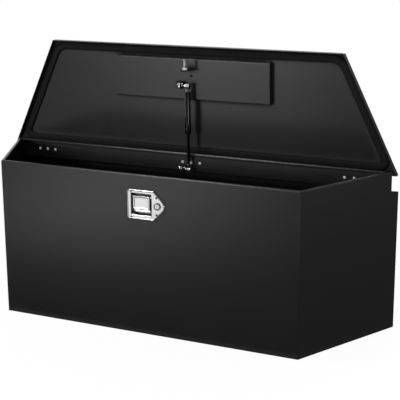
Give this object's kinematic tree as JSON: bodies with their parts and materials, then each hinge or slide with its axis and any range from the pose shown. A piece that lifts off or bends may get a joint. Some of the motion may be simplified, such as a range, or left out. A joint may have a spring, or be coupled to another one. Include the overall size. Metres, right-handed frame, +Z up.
{
  "type": "trailer tongue box",
  "caption": "Trapezoid steel storage chest for a trailer tongue, with a seal-lined tray lid on a gas strut, a recessed paddle latch with a lock, and a stepped rear wall.",
  "frame": {"origin": "centre of the base: midway across, and midway between the front wall and the lower rear wall", "axes": "+X to the right as seen from the front, +Y to the wide rear wall with the hinges, +Z up"},
  "size_m": [1.238, 0.3425, 0.771],
  "materials": {
    "powder_coat": "semi-gloss black powder coat on steel",
    "black_bracket": "black painted steel",
    "seal_rubber": "black bulb seal",
    "stainless": "polished stainless steel",
    "zinc": "bright zinc plate",
    "strut_black": "gloss black paint",
    "rod_steel": "black nitrided rod",
    "latch_steel": "plated steel"
  },
  "bodies": {
    "box": {"front_panel": "powder_coat", "left_side_panel": "powder_coat", "right_side_panel": "powder_coat", "rear_panel": "powder_coat", "floor_panel": "powder_coat", "hinge_box_leaf_left": "black_bracket", "hinge_box_leaf_middle": "black_bracket", "hinge_box_leaf_right": "black_bracket", "hinge_pin_left": "zinc", "hinge_pin_middle": "zinc", "hinge_pin_right": "zinc", "hinge_box_rivets": "zinc", "lower_strut_bracket": "black_bracket", "lower_ball_stud": "zinc", "lower_stud_nut": "zinc", "lower_bracket_rivets": "zinc", "latch_case": "stainless", "latch_screws": "zinc", "latch_nuts": "zinc", "paddle_pin": "zinc", "paddle_spring": "latch_steel", "lock_barrel": "zinc", "lock_nut": "zinc", "latch_back_plate": "latch_steel", "latch_cover": "latch_steel", "latch_spacers": "latch_steel", "claw_pin": "zinc", "claw_spring": "latch_steel", "pawl_pin": "zinc"},
    "lid": {"lid_shell": "powder_coat", "lid_pan": "powder_coat", "lid_seal": "seal_rubber", "hinge_lid_leaf_left": "black_bracket", "hinge_lid_leaf_middle": "black_bracket", "hinge_lid_leaf_right": "black_bracket", "hinge_lid_rivets": "black_bracket", "striker_tab": "black_bracket", "striker_bolt": "zinc", "striker_nut": "zinc", "upper_strut_bracket": "black_bracket", "upper_stud": "zinc", "upper_stud_nut": "zinc", "upper_bracket_rivets": "zinc"},
    "strut_rod_end": {"lower_socket": "latch_steel", "strut_rod": "rod_steel", "strut_piston": "latch_steel"},
    "strut_tube_end": {"strut_tube": "strut_black", "rod_guide": "rod_steel", "upper_socket": "latch_steel", "upper_ball": "zinc"},
    "paddle": {"paddle": "stainless"},
    "claw": {"claw": "latch_steel"},
    "pawl": {"pawl": "latch_steel"},
    "lock": {"lock_plug": "zinc", "lock_cam": "latch_steel"}
  },
  "joints": [
    {"name": "lid_hinge", "type": "hinge", "parent": "box", "child": "lid", "pos_m": [0, 0.1459, 0.448], "axis": [1, 0, 0], "range_deg": [0, 88]},
    {"name": "strut_swing", "type": "hinge", "parent": "box", "child": "strut_rod_end", "pos_m": [0, 0.125, 0.41], "axis": [1, 0, 0], "range_deg": [0, 83.4]},
    {"name": "strut_stroke", "type": "slide", "parent": "strut_rod_end", "child": "strut_tube_end", "axis": [0, 0.026, -0.9997], "range_m": [0, 0.05761]},
    {"name": "paddle_pull", "type": "hinge", "parent": "box", "child": "paddle", "pos_m": [-0.001, -0.164, 0.394], "axis": [-1, 0, 0], "range_deg": [0, 30], "stiffness_Nm_per_rad": 0.3, "springref_deg": -8.59},
    {"name": "pawl_turn", "type": "hinge", "parent": "box", "child": "pawl", "pos_m": [0.018, -0.143, 0.388], "axis": [0, -1, 0], "range_deg": [0, 12.5]},
    {"name": "claw_turn", "type": "hinge", "parent": "box", "child": "claw", "pos_m": [-0.017, -0.143, 0.4], "axis": [0, 1, 0], "range_deg": [0, 60], "stiffness_Nm_per_rad": 0.05, "springref_deg": -17.19},
    {"name": "lock_turn", "type": "hinge", "parent": "box", "child": "lock", "pos_m": [0.048, -0.169, 0.373], "axis": [0, 1, 0], "range_deg": [0, 90]}
  ],
  "couplings": [
    {"joint": "strut_swing", "follows": "lid_hinge", "ratio": 0.94431},
    {"joint": "strut_stroke", "follows": "lid_hinge", "m_per_rad": 0.037312},
    {"joint": "pawl_turn", "follows": "paddle_pull", "ratio": 0.4}
  ]
}
